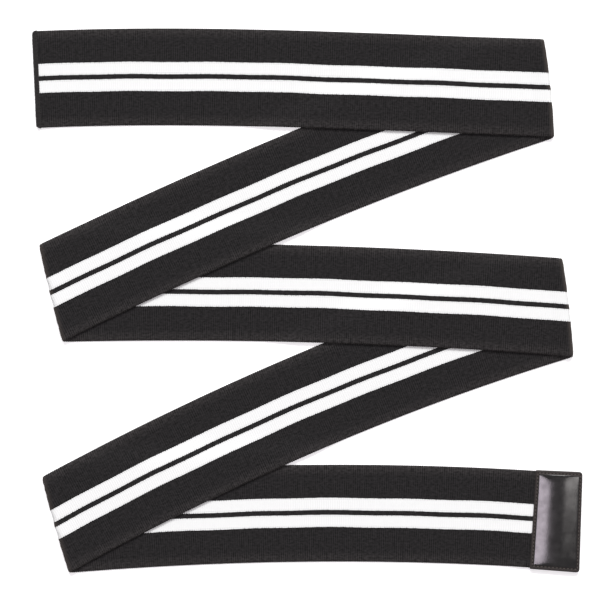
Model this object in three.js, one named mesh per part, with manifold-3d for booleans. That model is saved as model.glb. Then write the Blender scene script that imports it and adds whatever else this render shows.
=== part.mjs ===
import * as THREE from 'three';
import { mergeVertices } from 'three/addons/utils/BufferGeometryUtils.js';
import Module from 'manifold-3d';

// Knee wrap: a striped elastic band laid out flat in a zigzag, bound at one end, with a leather-look
// tab on the other. Millimetres, +Z up, origin on the surface under the middle of the zigzag.

// The band: its two white stripes lie between these distances from a line along it, one on each side
// of the line, which is set off a little from the band's middle.
const BAND_WIDTH = 76.2;
const BAND_THICKNESS = 1.8;
const SELVEDGE_ROUND = 0.7;
const STRIPE_OFFSET = 0.45;
const STRIPE_INNER = 1.8;
const STRIPE_OUTER = 11.6;
const BLACK_YARN = new THREE.Color('#2b292a');
const WHITE_YARN = new THREE.Color('#fdfdfc');

// Air between two runs that lie on each other, and between the band and what is sewn to its ends
const LAYER_GAP = 0.4;
const PIECE_GAP = 0.3;

// A fold: the radius of the cloth's middle round it, the length behind it over which the cloth lies
// down again, and the length over which the rows across a run turn to lie along the fold.
const FOLD_RADIUS = 2.0;
const FOLD_SETTLE = 14;
const FOLD_SKEW_LENGTH = 120;

// A run comes down off the one under it over this length, from this far outside that run's selvedge.
const DRAPE_START = 7;
const DRAPE_LENGTH = 14;

// The binding round the plain end: a channel of thread, a little longer than the band is wide, that
// the band climbs into over the ramp.
const BINDING_LENGTH = 4.3;
const BINDING_WALL = 0.4;
const BINDING_OVERHANG = 0.4;
const BINDING_RAMP = 14;

// The tab round the other end: a pouch that is longer along its lower edge than along its upper one by
// the slant. The band climbs onto its back panel over the ramp.
const TAB_LENGTH = 38.0;
const TAB_WIDTH = 78.8;
const TAB_SLANT = 2.6;
const TAB_BACK = 0.8;
const TAB_END_WALL = 4.2;
const TAB_RAMP = 16;
const TAB_CORNER = { open: 0.8, closed: 2.6 };

// Where the band starts, folds and ends, in plan. x and y are the middle of the band there, at the
// outermost point of a fold. The headings are the ways the band runs in and out, lean is the way the
// fold lies and bow is how far its middle stands out past its ends.
const STATIONS = [
  { name: 'plain_end', x: -214.7, y: 174.2, headingOut: 2.6 },
  { name: 'fold_1', x: 192.2, y: 167.4, headingIn: -1.8, headingOut: 197.8, lean: 95.9, bow: 1.2 },
  { name: 'fold_2', x: -202.8, y: 5.4, headingIn: 205.9, headingOut: 1.4, lean: 103.7, bow: 0.6 },
  { name: 'fold_3', x: 206.8, y: -5.5, headingIn: -4.4, headingOut: 196.6, lean: 96.4, bow: 0.9 },
  { name: 'fold_4', x: -199.2, y: -177.3, headingIn: 208.5, headingOut: 4.8, lean: 105.9, bow: 0.8 },
  { name: 'tab_end', x: 211.4, y: -174.7, headingIn: -4.4 },
];
const RUNS = STATIONS.length - 1;

// The tab's outer form from its underside to the middle of its panel: how far each ring lies in from
// the outline, and its height.
const TAB_RINGS = [
  { inset: 0.5, height: 0 },
  { inset: 0, height: 0.5 },
  { inset: 0, height: 3.5 },
  { inset: 0.6, height: 4.1 },
  { inset: 2.4, height: 4.3 },
  { inset: 3.2, height: 4.1 },
  { inset: 4.2, height: 4.6 },
  { inset: 8, height: 5.0 },
  { inset: 14, height: 5.2 },
];

// Fineness of the mesh: lanes along the black cloth beside the stripes, from the band's middle, and
// rows across each run, which crowd together near its ends, where the folds are.
const PLAIN_LANES = [20, 28, 34];
const ROWS_PER_RUN = 30;
const ROW_CROWDING = 0.75;
const ROWS_PER_FOLD = 8;
const CURVE_SAMPLES = 60;
const SIDE_STEPS = 4;
const CORNER_STEPS = 4;

const HALF_WIDTH = BAND_WIDTH / 2;
const UPPER_LANES = [STRIPE_INNER + STRIPE_OFFSET, STRIPE_OUTER + STRIPE_OFFSET, ...PLAIN_LANES];
const LOWER_LANES = [STRIPE_INNER - STRIPE_OFFSET, STRIPE_OUTER - STRIPE_OFFSET, ...PLAIN_LANES];
const LAST_LANE = HALF_WIDTH - SELVEDGE_ROUND;
const LANES = [-LAST_LANE, ...LOWER_LANES.toReversed().map((lane) => -lane), ...UPPER_LANES, LAST_LANE];
const LAYER_RISE = BAND_THICKNESS + LAYER_GAP;
const BINDING_LIFT = BINDING_WALL + PIECE_GAP;
const TAB_LIFT = TAB_BACK + PIECE_GAP;
const { degToRad, smoothstep, lerp } = THREE.MathUtils;

// A level direction, in degrees anticlockwise from +X.
function direction(degrees) {
  const angle = degToRad(degrees);
  return new THREE.Vector2(Math.cos(angle), Math.sin(angle));
}

// A run faces up with its front when its number is even, counting from 0, and with its back when odd.
function facing(run) {
  return run % 2 === 0 ? 1 : -1;
}

// The band crosses a fold at a slant, so it drifts along the fold's axis as it goes round.
function layFold(index) {
  const station = STATIONS[index];
  const along = direction(station.lean);
  const out = direction(station.lean - 90 * facing(index - 1));
  const wayIn = direction(station.headingIn);
  const wayOut = direction(station.headingOut);
  const slopeIn = wayIn.dot(along) / wayIn.dot(out);
  const slopeOut = -wayOut.dot(along) / wayOut.dot(out);
  const drift = (Math.PI * FOLD_RADIUS * (slopeIn + slopeOut)) / 2;
  const reach = FOLD_RADIUS + BAND_THICKNESS / 2;
  const axis = new THREE.Vector2(station.x, station.y).addScaledVector(out, -reach);
  return {
    along,
    out,
    axis,
    drift,
    bow: station.bow,
    outerFace: facing(index - 1),
    runEnd: axis.clone().addScaledVector(along, -drift / 2),
    runStart: axis.clone().addScaledVector(along, drift / 2),
    stretchIn: Math.hypot(1, slopeIn),
    stretchOut: Math.hypot(1, slopeOut),
  };
}

const FOLDS = STATIONS.map((station) => (station.lean ? layFold(STATIONS.indexOf(station)) : null));

// One run's middle line in plan, and how the rows across it lean at each end to meet the folds.
function layRun(index) {
  const from = STATIONS[index];
  const to = STATIONS[index + 1];
  const startFold = FOLDS[index];
  const endFold = FOLDS[index + 1];
  const start = startFold ? startFold.runStart : new THREE.Vector2(from.x, from.y);
  const end = endFold ? endFold.runEnd : new THREE.Vector2(to.x, to.y);
  const wayOut = direction(from.headingOut);
  const wayIn = direction(to.headingIn);
  const handle = start.distanceTo(end) / 3;
  const curve = new THREE.CubicBezierCurve(
    start,
    start.clone().addScaledVector(wayOut, handle),
    end.clone().addScaledVector(wayIn, -handle),
    end,
  );
  const upward = facing(index);
  const samples = curve.getSpacedPoints(CURVE_SAMPLES).map((centre, i) => {
    const tangent = curve.getTangentAt(i / CURVE_SAMPLES);
    return { centre, across: new THREE.Vector2(-tangent.y, tangent.x).multiplyScalar(upward) };
  });
  const skew = (fold, way) => {
    const across = new THREE.Vector2(-way.y, way.x).multiplyScalar(upward);
    return fold ? fold.along.dot(way) / fold.along.dot(across) : 0;
  };
  return {
    index,
    curve,
    samples,
    upward,
    length: curve.getLength(),
    skewStart: skew(startFold, wayOut),
    skewEnd: skew(endFold, wayIn),
    bowStart: startFold ? startFold.bow : 0,
    bowEnd: endFold ? endFold.bow : 0,
  };
}

const runs = Array.from({ length: RUNS }, (_, index) => layRun(index));

// How far a point in plan lies outside a run's upper selvedge: negative where it is over the run.
function beyondSelvedge(run, point) {
  const away = new THREE.Vector2();
  let nearest = Infinity;
  let beyond = 0;
  for (const { centre, across } of run.samples) {
    away.subVectors(point, centre);
    if (away.lengthSq() < nearest) {
      nearest = away.lengthSq();
      beyond = away.dot(across) - HALF_WIDTH;
    }
  }
  return beyond;
}

// Height of the band's underside: it lies on the surface, climbs over the next run, swells behind its
// fold, and is carried by the binding and by the tab's back panel at its two ends.
function underside(run, point, distance) {
  const remaining = run.length - distance;
  let height = 0;
  if (run.index + 1 < RUNS) {
    const beyond = beyondSelvedge(runs[run.index + 1], point);
    height += LAYER_RISE * (1 - smoothstep(beyond, DRAPE_START, DRAPE_START + DRAPE_LENGTH));
    height += (2 * FOLD_RADIUS - LAYER_RISE) * (1 - smoothstep(remaining, 0, FOLD_SETTLE));
  } else {
    height += TAB_LIFT * (1 - smoothstep(remaining, TAB_LENGTH, TAB_LENGTH + TAB_RAMP));
  }
  if (run.index === 0) {
    height += BINDING_LIFT * (1 - smoothstep(distance, BINDING_LENGTH, BINDING_LENGTH + BINDING_RAMP));
  }
  return height;
}

// The band's section: across is the place between the selvedges, face is 1 on the front, -1 on the
// back and 0 on the rounded selvedge itself.
function bandSection() {
  const front = LANES.toReversed().map((across) => ({ across, face: 1 }));
  const back = LANES.map((across) => ({ across, face: -1 }));
  return [...front, { across: -HALF_WIDTH, face: 0 }, ...back, { across: HALF_WIDTH, face: 0 }];
}

// One row of points across a run, at a share of its length.
function runRow(run, share, section) {
  const distance = share * run.length;
  const centre = run.curve.getPointAt(share);
  const tangent = run.curve.getTangentAt(share);
  const across = new THREE.Vector2(-tangent.y, tangent.x).multiplyScalar(run.upward);
  const nearStart = 1 - smoothstep(distance, 0, FOLD_SKEW_LENGTH);
  const nearEnd = smoothstep(distance, run.length - FOLD_SKEW_LENGTH, run.length);
  const skew = run.skewStart * nearStart + run.skewEnd * nearEnd;
  const bow = run.bowStart * nearStart - run.bowEnd * nearEnd;
  return section.map((point) => {
    const ahead = skew * point.across + bow * (point.across / HALF_WIDTH) ** 2;
    const plan = centre.clone().addScaledVector(across, point.across).addScaledVector(tangent, ahead);
    const middle = underside(run, plan, distance) + BAND_THICKNESS / 2;
    return [plan.x, plan.y, middle + (run.upward * point.face * BAND_THICKNESS) / 2];
  });
}

// One row of points across the band as it goes round a fold, turned from the upper run's way by turn.
function foldRow(fold, turn, section) {
  const share = turn / Math.PI;
  return section.map((point) => {
    const radius = FOLD_RADIUS + (fold.outerFace * point.face * BAND_THICKNESS) / 2;
    const stretch = lerp(fold.stretchIn, fold.stretchOut, share);
    const place = fold.drift * (share - 0.5) + point.across * stretch;
    const ahead = radius * Math.sin(turn) - fold.bow * (point.across / HALF_WIDTH) ** 2;
    const plan = fold.axis.clone().addScaledVector(fold.along, place).addScaledVector(fold.out, ahead);
    return [plan.x, plan.y, BAND_THICKNESS / 2 + FOLD_RADIUS + radius * Math.cos(turn)];
  });
}

// A closed solid through rows of points, with a fan over the first and the last row.
function loft(rows) {
  const width = rows[0].length;
  const positions = rows.flat(2);
  const indices = [];
  for (let row = 0; row + 1 < rows.length; row++) {
    for (let i = 0; i < width; i++) {
      const a = row * width + i;
      const b = row * width + ((i + 1) % width);
      indices.push(a, b, a + width, b, b + width, a + width);
    }
  }
  const last = (rows.length - 1) * width;
  for (let i = 1; i + 1 < width; i++) {
    indices.push(0, i + 1, i, last, last + i, last + i + 1);
  }
  const geometry = new THREE.BufferGeometry();
  geometry.setAttribute('position', new THREE.Float32BufferAttribute(positions, 3));
  geometry.setIndex(indices);
  return geometry;
}

// The two white stripes: each triangle takes the colour of the lane that it lies in.
function paintStripes(geometry, section) {
  const index = Array.from(geometry.index.array);
  const colours = [];
  for (let i = 0; i < index.length; i += 3) {
    const places = index.slice(i, i + 3).map((vertex) => section[vertex % section.length].across);
    const middle = Math.abs((places[0] + places[1] + places[2]) / 3 - STRIPE_OFFSET);
    const isWhite = middle > STRIPE_INNER && middle < STRIPE_OUTER;
    const { r, g, b } = isWhite ? WHITE_YARN : BLACK_YARN;
    colours.push(r, g, b, r, g, b, r, g, b);
  }
  const painted = geometry.toNonIndexed();
  painted.setAttribute('color', new THREE.Float32BufferAttribute(colours, 3));
  return painted;
}

function makeBand() {
  const section = bandSection();
  const rows = [];
  for (const run of runs) {
    for (let row = 0; row <= ROWS_PER_RUN; row++) {
      const even = row / ROWS_PER_RUN;
      const share = even - (ROW_CROWDING * Math.sin(2 * Math.PI * even)) / (2 * Math.PI);
      rows.push(runRow(run, share, section));
    }
    const fold = FOLDS[run.index + 1];
    for (let step = 1; fold && step < ROWS_PER_FOLD; step++) {
      rows.push(foldRow(fold, (Math.PI * step) / ROWS_PER_FOLD, section));
    }
  }
  return paintStripes(loft(rows), section);
}

// A channel that closes round the band's cut end, swept from selvedge to selvedge.
function makeBinding() {
  const height = BAND_THICKNESS + 2 * (BINDING_WALL + PIECE_GAP);
  const back = -BINDING_WALL - PIECE_GAP;
  const front = back + BINDING_LENGTH;
  const profile = new THREE.Shape([
    new THREE.Vector2(front, 0),
    new THREE.Vector2(front, BINDING_WALL),
    new THREE.Vector2(-PIECE_GAP, BINDING_WALL),
    new THREE.Vector2(-PIECE_GAP, height - BINDING_WALL),
    new THREE.Vector2(front, height - BINDING_WALL),
    new THREE.Vector2(front, height),
    new THREE.Vector2(back + BINDING_WALL, height),
    new THREE.Vector2(back, height - BINDING_WALL),
    new THREE.Vector2(back, BINDING_WALL),
    new THREE.Vector2(back + BINDING_WALL, 0),
  ]);
  const depth = BAND_WIDTH + 2 * BINDING_OVERHANG;
  const geometry = new THREE.ExtrudeGeometry(profile, { depth, bevelEnabled: false });
  geometry.translate(0, 0, -depth / 2);
  geometry.rotateX(Math.PI / 2);
  return geometry;
}

// The tab's outline, drawn in from its edge by inset: x runs on along the band from its cut end. The
// corners are round at the closed end and nearly square at the open one, and the closed end slants.
function tabRing({ inset, height }) {
  const right = PIECE_GAP + TAB_END_WALL - inset;
  const left = PIECE_GAP + TAB_END_WALL - TAB_LENGTH + inset;
  const top = TAB_WIDTH / 2 - inset;
  const closed = Math.max(TAB_CORNER.closed - inset / 2, TAB_CORNER.open);
  const open = TAB_CORNER.open;
  const corners = [
    { x: right + TAB_SLANT / 2, y: -top, radius: closed, turn: -90 },
    { x: right - TAB_SLANT / 2, y: top, radius: closed, turn: 0 },
    { x: left, y: top, radius: open, turn: 90 },
    { x: left, y: -top, radius: open, turn: 180 },
  ];
  const ring = [];
  for (const corner of corners) {
    const middle = direction(corner.turn + 45).multiplyScalar(-corner.radius * Math.SQRT2);
    for (let step = 0; step <= CORNER_STEPS; step++) {
      const way = direction(corner.turn + (90 * step) / CORNER_STEPS).multiplyScalar(corner.radius);
      ring.push([corner.x + middle.x + way.x, corner.y + middle.y + way.y, height]);
    }
  }
  return ring.flatMap((point, i) => {
    const next = ring[(i + 1) % ring.length];
    const isSide = i % (CORNER_STEPS + 1) === CORNER_STEPS;
    const steps = isSide ? SIDE_STEPS : 1;
    const between = (step) => point.map((value, axis) => lerp(value, next[axis], step / steps));
    return Array.from({ length: steps }, (_, step) => between(step));
  });
}

const wasm = await Module();
wasm.setup();

function toSolid(geometry) {
  const bare = geometry.clone();
  bare.deleteAttribute('normal');
  bare.deleteAttribute('uv');
  const merged = mergeVertices(bare);
  const vertProperties = new Float32Array(merged.attributes.position.array);
  const triVerts = new Uint32Array(merged.index.array);
  return new wasm.Manifold(new wasm.Mesh({ numProp: 3, vertProperties, triVerts }));
}

function toGeometry(solid) {
  const { vertProperties, triVerts } = solid.getMesh();
  const geometry = new THREE.BufferGeometry();
  geometry.setAttribute('position', new THREE.BufferAttribute(vertProperties, 3));
  geometry.setIndex(new THREE.BufferAttribute(triVerts, 1));
  return geometry;
}

// The tab is a flat pouch: its outer form less the pocket that the band's end fills.
function makeTab() {
  const outer = loft(TAB_RINGS.map(tabRing));
  const pocketHeight = BAND_THICKNESS + 2 * PIECE_GAP;
  const pocketLength = TAB_LENGTH + TAB_END_WALL;
  const pocket = new THREE.BoxGeometry(pocketLength, BAND_WIDTH + 2 * PIECE_GAP, pocketHeight);
  pocket.translate(PIECE_GAP - pocketLength / 2, 0, TAB_BACK + pocketHeight / 2);
  return toGeometry(toSolid(outer).subtract(toSolid(pocket)));
}

function addPiece(group, name, geometry, look) {
  geometry.computeVertexNormals();
  const mesh = new THREE.Mesh(geometry, new THREE.MeshStandardMaterial(look));
  mesh.name = name;
  group.add(mesh);
  return mesh;
}

const kneeWrap = new THREE.Group();
const weave = { color: '#ffffff', vertexColors: true, roughness: 0.9, metalness: 0 };
addPiece(kneeWrap, 'band', makeBand(), weave);

const [plainEnd] = STATIONS;
const thread = { color: '#33312e', roughness: 0.9, metalness: 0 };
const binding = addPiece(kneeWrap, 'end_binding', makeBinding(), thread);
binding.position.set(plainEnd.x, plainEnd.y, 0);
binding.rotation.z = degToRad(plainEnd.headingOut);

const tabEnd = STATIONS[RUNS];
const leather = { color: '#3a3739', roughness: 0.35, metalness: 0 };
const tab = addPiece(kneeWrap, 'end_tab', makeTab(), leather);
tab.position.set(tabEnd.x, tabEnd.y, 0);
tab.rotation.z = degToRad(tabEnd.headingIn);

export default kneeWrap;
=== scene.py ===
import bpy
import numpy as np
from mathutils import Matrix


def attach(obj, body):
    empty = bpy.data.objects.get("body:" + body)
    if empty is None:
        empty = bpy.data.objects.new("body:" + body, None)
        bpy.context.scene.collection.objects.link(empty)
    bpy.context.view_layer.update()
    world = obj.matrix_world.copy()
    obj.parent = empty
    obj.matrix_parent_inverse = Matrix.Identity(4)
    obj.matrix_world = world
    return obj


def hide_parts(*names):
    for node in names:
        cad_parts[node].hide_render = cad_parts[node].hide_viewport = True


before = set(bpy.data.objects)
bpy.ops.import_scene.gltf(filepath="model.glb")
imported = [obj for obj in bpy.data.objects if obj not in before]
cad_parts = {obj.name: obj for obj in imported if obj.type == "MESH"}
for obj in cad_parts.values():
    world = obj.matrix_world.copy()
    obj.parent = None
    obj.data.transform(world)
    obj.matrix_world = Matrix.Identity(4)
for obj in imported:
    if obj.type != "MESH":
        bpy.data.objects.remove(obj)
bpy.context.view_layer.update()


# The band: one strip of heavy woven elastic, ribbed across its width by the thick weft, black with two
# white stripes woven in.  It lies in a zigzag of five runs, each run partly on the next, and turns over
# at four soft folds that nothing holds but its own weight.
MM = 0.001
BAND_WIDTH = 76.2 * MM
HALF_WIDTH = BAND_WIDTH / 2
BAND_THICKNESS = 1.8 * MM
HALF_THICKNESS = BAND_THICKNESS / 2
STRIPE_OFFSET = 0.45 * MM
STRIPE_INNER = 1.8 * MM
STRIPE_OUTER = 11.6 * MM
STRIPE_TOOTH = 0.5 * MM
STRIPE_WANDER = 0.3 * MM
WANDER_LENGTHS = np.array([143.0, 61.0]) * MM
RIB_PITCH = 1.735 * MM
RIB_DEPTH = 0.28 * MM
SELVEDGE_SCALLOP = 0.3 * MM
END_CORNER = 2.4 * MM
LAYER_RISE = 2.2 * MM
DRAPE_FROM, DRAPE_TO = 7.0 * MM, 21.0 * MM
FOLD_RADIUS = 2.0 * MM
FOLD_SETTLE = 14.0 * MM
# How far from each fold's nose the painted sheen there reaches.
NOSE_SHEEN_FROM, NOSE_SHEEN_TO = 0.5 * MM, 4.6 * MM
RIB_SHEAR_FROM, RIB_SHEAR_TO = 12.0 * MM, 120.0 * MM
BINDING_LIFT, BINDING_LIFT_FROM, BINDING_LIFT_TO = 0.7 * MM, 4.3 * MM, 18.3 * MM
TAB_LIFT, TAB_LIFT_FROM, TAB_LIFT_TO = 1.1 * MM, 38.0 * MM, 54.0 * MM

# The plain end, the four folds at the outermost point of their middle line, and the tab's end; then the
# headings at which the band comes to each and leaves it, and the lean and bow of each fold's line.
PLACES_X = np.array([-214.7, 192.2, -202.8, 206.8, -199.2, 211.4]) * MM
PLACES_Y = np.array([174.2, 167.4, 5.4, -5.5, -177.3, -174.7]) * MM
PLACES = np.column_stack([PLACES_X, PLACES_Y])
HEADINGS_IN = np.radians([-1.8, 205.9, -4.4, 208.5, -4.4])
HEADINGS_OUT = np.radians([2.6, 197.8, 1.4, 196.6, 4.8])
FOLD_LEAN = np.radians([95.9, 103.7, 96.4, 105.9])
FOLD_BOW = np.array([1.2, 0.6, 0.9, 0.8]) * MM
RUNS = len(HEADINGS_IN)
FOLDS = RUNS - 1
FACE_UP = np.where(np.arange(RUNS) % 2 == 0, 1, -1)


def smoothstep(x, start, end):
    """0 before start and 1 after end, and 3 t^2 - 2 t^3 between, where t is the share of the way."""
    t = np.clip((x - start) / (end - start), 0, 1)
    return t * t * (3 - 2 * t)


def direction(angle):
    """The unit vector in plan at an angle anticlockwise from +X."""
    return np.stack([np.cos(angle), np.sin(angle)], axis=-1)


def dot(a, b):
    """The scalar products of rows of vectors."""
    return np.sum(a * b, axis=-1)


def left_of(vector):
    """A plan vector turned a quarter turn anticlockwise."""
    return np.stack([-vector[..., 1], vector[..., 0]], axis=-1)


# At a fold the band goes round a half cylinder.  Its lanes meet the fold's line at a slant, so each is
# carried some way along the line as it turns, by the mean of its slopes coming and going.
fold_along = direction(FOLD_LEAN)
fold_out = direction(FOLD_LEAN - np.pi / 2 * FACE_UP[:FOLDS])
coming, going = direction(HEADINGS_IN[:FOLDS]), direction(HEADINGS_OUT[1:])
slope_in = dot(coming, fold_along) / dot(coming, fold_out)
slope_out = -dot(going, fold_along) / dot(going, fold_out)
fold_drift = np.pi * FOLD_RADIUS * (slope_in + slope_out) / 2
fold_arc = np.pi * FOLD_RADIUS * np.hypot(1, (slope_in + slope_out) / 2)
fold_axis = PLACES[1:-1] - fold_out * (FOLD_RADIUS + HALF_THICKNESS)
across_in = left_of(coming) * FACE_UP[:FOLDS, None]
across_out = left_of(going) * FACE_UP[1:, None]
skew_in = dot(fold_along, coming) / dot(fold_along, across_in)
skew_out = dot(fold_along, going) / dot(fold_along, across_out)

# Each run's middle line is a cubic Bezier curve from fold to fold, with handles a third of its chord.
run_from = np.vstack([PLACES[:1], fold_axis + fold_along * fold_drift[:, None] / 2])
run_to = np.vstack([fold_axis - fold_along * fold_drift[:, None] / 2, PLACES[-1:]])
handle = np.linalg.norm(run_to - run_from, axis=1)[:, None] / 3
handle_from = run_from + direction(HEADINGS_OUT) * handle
handle_to = run_to - direction(HEADINGS_IN) * handle
run_curve = np.stack([run_from, handle_from, handle_to, run_to], axis=1)
CURVE_STEPS = np.linspace(0, 1, 401)
COARSE_STEPS = CURVE_STEPS[::4]


def curve_points(run, t):
    """The Bezier curve of a run at parameters t, by its Bernstein weights."""
    weights = np.stack([(1 - t) ** 3, 3 * t * (1 - t) ** 2, 3 * t**2 * (1 - t), t**3], axis=-1)
    return weights @ run_curve[run]


def curve_tangents(run, t):
    """The unit tangent of a run's curve at parameters t, from the curve's derivative."""
    weights = np.stack([(1 - t) ** 2, 2 * t * (1 - t), t**2], axis=-1)
    slope = weights @ np.diff(run_curve[run], axis=0)
    return slope / np.linalg.norm(slope, axis=-1, keepdims=True)


run_marks = []
for run in range(RUNS):
    chords = np.linalg.norm(np.diff(curve_points(run, CURVE_STEPS), axis=0), axis=1)
    run_marks.append(np.concatenate([[0], np.cumsum(chords)]))
run_length = np.array([marks[-1] for marks in run_marks])
run_begins = np.concatenate([[0], np.cumsum(run_length[:FOLDS] + fold_arc)])
BAND_LENGTH = run_begins[-1] + run_length[-1]


def fold_starts(fold, v):
    """How far along the band the lane at v meets a fold: the middle line's mark, with slant and bow."""
    return run_begins[fold] + run_length[fold] + skew_in[fold] * v - FOLD_BOW[fold] * (v / HALF_WIDTH) ** 2


def on_run(run, u, v, lift):
    """Points of a run: the middle line at length s, v across it, at the height of the cloth there plus lift.

    s is u less the run's beginning, sheared after a fold so that ribs which met the fold's line at one slant
    and leave at another come square again.  The cloth's underside is a layer up while it is over the next
    run, comes down to the floor beyond that run's upper edge, and climbs to the top of a fold at its end."""
    s = u - run_begins[run]
    bow = (v / HALF_WIDTH) ** 2
    if run > 0:
        shear = (skew_out[run - 1] - skew_in[run - 1]) * v + 2 * FOLD_BOW[run - 1] * bow
        s = s + shear * (1 - smoothstep(s, RIB_SHEAR_FROM, RIB_SHEAR_TO))
    inside = np.clip(s, 0, run_length[run])
    t = np.interp(inside, run_marks[run], CURVE_STEPS)
    tangent = curve_tangents(run, t)
    across = left_of(tangent) * FACE_UP[run]
    plan = curve_points(run, t) + tangent * (s - inside)[:, None] + across * v[:, None]
    if run < FOLDS:
        below = curve_points(run + 1, COARSE_STEPS)
        nearest = np.argmin(np.linalg.norm(plan[:, None] - below[None], axis=2), axis=1)
        below_across = left_of(curve_tangents(run + 1, COARSE_STEPS))[nearest] * FACE_UP[run + 1]
        beyond = dot(plan - below[nearest], below_across) - HALF_WIDTH
        remaining = fold_starts(run, v) - u
        underside = LAYER_RISE * (1 - smoothstep(beyond, DRAPE_FROM, DRAPE_TO))
        underside += (2 * FOLD_RADIUS - LAYER_RISE) * (1 - smoothstep(remaining, 0, FOLD_SETTLE))
    else:
        underside = TAB_LIFT * (1 - smoothstep(run_length[run] - s, TAB_LIFT_FROM, TAB_LIFT_TO))
    if run == 0:
        underside = underside + BINDING_LIFT * (1 - smoothstep(s, BINDING_LIFT_FROM, BINDING_LIFT_TO))
    return np.column_stack([plan, underside + HALF_THICKNESS + FACE_UP[run] * lift])


def on_fold(fold, u, v, lift):
    """Points of a fold: round its half cylinder by the share of the arc passed, drifting along its line.

    The radius is the middle layer's plus lift on the outer side, and the line bows by the square of the
    offset."""
    share = (u - fold_starts(fold, v)) / fold_arc[fold]
    turn = np.pi * share
    radius = FOLD_RADIUS + FACE_UP[fold] * lift
    stretch = np.hypot(1, slope_in[fold]) * (1 - share) + np.hypot(1, slope_out[fold]) * share
    along = fold_drift[fold] * (share - 0.5) + v * stretch
    out = radius * np.sin(turn) - FOLD_BOW[fold] * (v / HALF_WIDTH) ** 2
    plan = fold_axis[fold] + fold_along[fold] * along[:, None] + fold_out[fold] * out[:, None]
    return np.column_stack([plan, HALF_THICKNESS + FOLD_RADIUS + radius * np.cos(turn)])


def on_band(u, v, lift):
    """Points of the cloth at u along it, v across it and lift from its middle, by the run or fold there."""
    points = np.empty((*u.shape, 3))
    for run in range(RUNS):
        after = u >= fold_starts(run - 1, v) + fold_arc[run - 1] if run > 0 else np.full(u.shape, True)
        before = u < fold_starts(run, v) if run < FOLDS else np.full(u.shape, True)
        here = after & before
        points[here] = on_run(run, u[here], v[here], lift[here])
        if run < FOLDS:
            turning = ~before & (u < fold_starts(run, v) + fold_arc[run])
            points[turning] = on_fold(run, u[turning], v[turning], lift[turning])
    return points


# Two rows of points to a rib, on its crest and in the valley after it.  The ribs are a little coarser than
# real ones, so that they show.  A row goes round the cloth: the front lanes, one selvedge, the back lanes
# and the other selvedge.  In each valley the black yarn beside a stripe reaches into it as a small tooth,
# each by its own amount, and the stripes wander a little.
PLAIN_LANES = np.array([17.0, 22.5, 28.5, 34.0, 36.3, 37.5]) * MM
PLAIN_FULLNESS = np.array([1, 1, 1, 1, 0.92, 0.62])
STRIPE_EDGES = np.array([STRIPE_INNER, STRIPE_OUTER])
TOOTH_WAY = np.array([1, -1])
TOOTH_LEAST = 0.2
TOOTH_SEED = 3
ribs = round(BAND_LENGTH / RIB_PITCH)
row_count = 2 * ribs + 1
row_u = np.linspace(0, BAND_LENGTH, row_count)
in_valley = (np.arange(row_count) % 2)[:, None]
stripe_lanes = STRIPE_OFFSET + np.concatenate([STRIPE_EDGES[::-1], -STRIPE_EDGES])
stripe_teeth = STRIPE_TOOTH * np.concatenate([TOOTH_WAY[::-1], -TOOTH_WAY])
front_lanes = np.concatenate([PLAIN_LANES[::-1], stripe_lanes, -PLAIN_LANES])
front_fullness = np.concatenate([PLAIN_FULLNESS[::-1], np.ones(len(stripe_lanes)), PLAIN_FULLNESS])
front_teeth = np.concatenate([np.zeros(len(PLAIN_LANES)), stripe_teeth, np.zeros(len(PLAIN_LANES))])
ring_v = np.concatenate([front_lanes, [-HALF_WIDTH], front_lanes[::-1], [HALF_WIDTH]])
ring_lift = HALF_THICKNESS * np.concatenate([front_fullness, [0], -front_fullness, [0]])
ring_count = len(ring_v)
ring_tooth = np.concatenate([front_teeth, [0], front_teeth[::-1], [0]])
ring_scallop = np.sign(ring_v) * (ring_lift == 0) * SELVEDGE_SCALLOP
tooth_reach = np.random.default_rng(TOOTH_SEED).uniform(TOOTH_LEAST, 1, (row_count, ring_count))
wander = STRIPE_WANDER * np.sin(2 * np.pi * row_u[:, None] / WANDER_LENGTHS).mean(axis=1, keepdims=True)
band_v = ring_v + ring_tooth * tooth_reach * in_valley + ring_scallop * (1 - in_valley)
band_v = band_v + wander * (ring_tooth != 0)
end_round = 1 - np.sqrt(1 - np.clip(1 - row_u / END_CORNER, 0, 1) ** 2)
end_limit = (HALF_WIDTH + SELVEDGE_SCALLOP - END_CORNER * end_round)[:, None]
band_v = np.clip(band_v, -end_limit, end_limit)
band_u = np.broadcast_to(row_u[:, None], band_v.shape)
band_lift = ring_lift - np.sign(ring_lift) * RIB_DEPTH * in_valley
band_points = on_band(band_u, band_v, band_lift).reshape(-1, 3)
# How near each point is to a fold's nose, where the cloth's colour is painted a lighter tan: a painted sheen
# along the fold.
band_nose_sheen = np.zeros(band_u.shape)
for fold in range(FOLDS):
    from_nose = np.abs(band_u - fold_starts(fold, band_v) - fold_arc[fold] / 2)
    band_nose_sheen += 1 - smoothstep(from_nose, NOSE_SHEEN_FROM, NOSE_SHEEN_TO)


def tube_faces(rows, ring):
    """Quads between the rows of a closed ring of points, row by row, turned to face outwards."""
    here = np.arange(rows - 1)[:, None] * ring + np.arange(ring)
    beside = np.arange(rows - 1)[:, None] * ring + (np.arange(ring) + 1) % ring
    return np.stack([here, beside, beside + ring, here + ring], axis=-1).reshape(-1, 4)


def new_piece(name, points, faces, materials):
    """A mesh object at the origin with these points, faces and materials, shaded smooth."""
    mesh = bpy.data.meshes.new(name)
    mesh.from_pydata(points, [], faces)
    mesh.polygons.foreach_set("use_smooth", np.full(len(mesh.polygons), True))
    for one in materials:
        mesh.materials.append(one)
    mesh.update()
    piece = bpy.data.objects.new(name, mesh)
    bpy.context.collection.objects.link(piece)
    return piece


def linear(colour):
    """An sRGB hex colour as linear RGBA, by the sRGB transfer curve."""
    srgb = np.array([int(colour[i : i + 2], 16) for i in (1, 3, 5)]) / 255
    rgb = np.where(srgb <= 0.04045, srgb / 12.92, ((srgb + 0.055) / 1.055) ** 2.4)
    return (*rgb.tolist(), 1.0)


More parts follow.
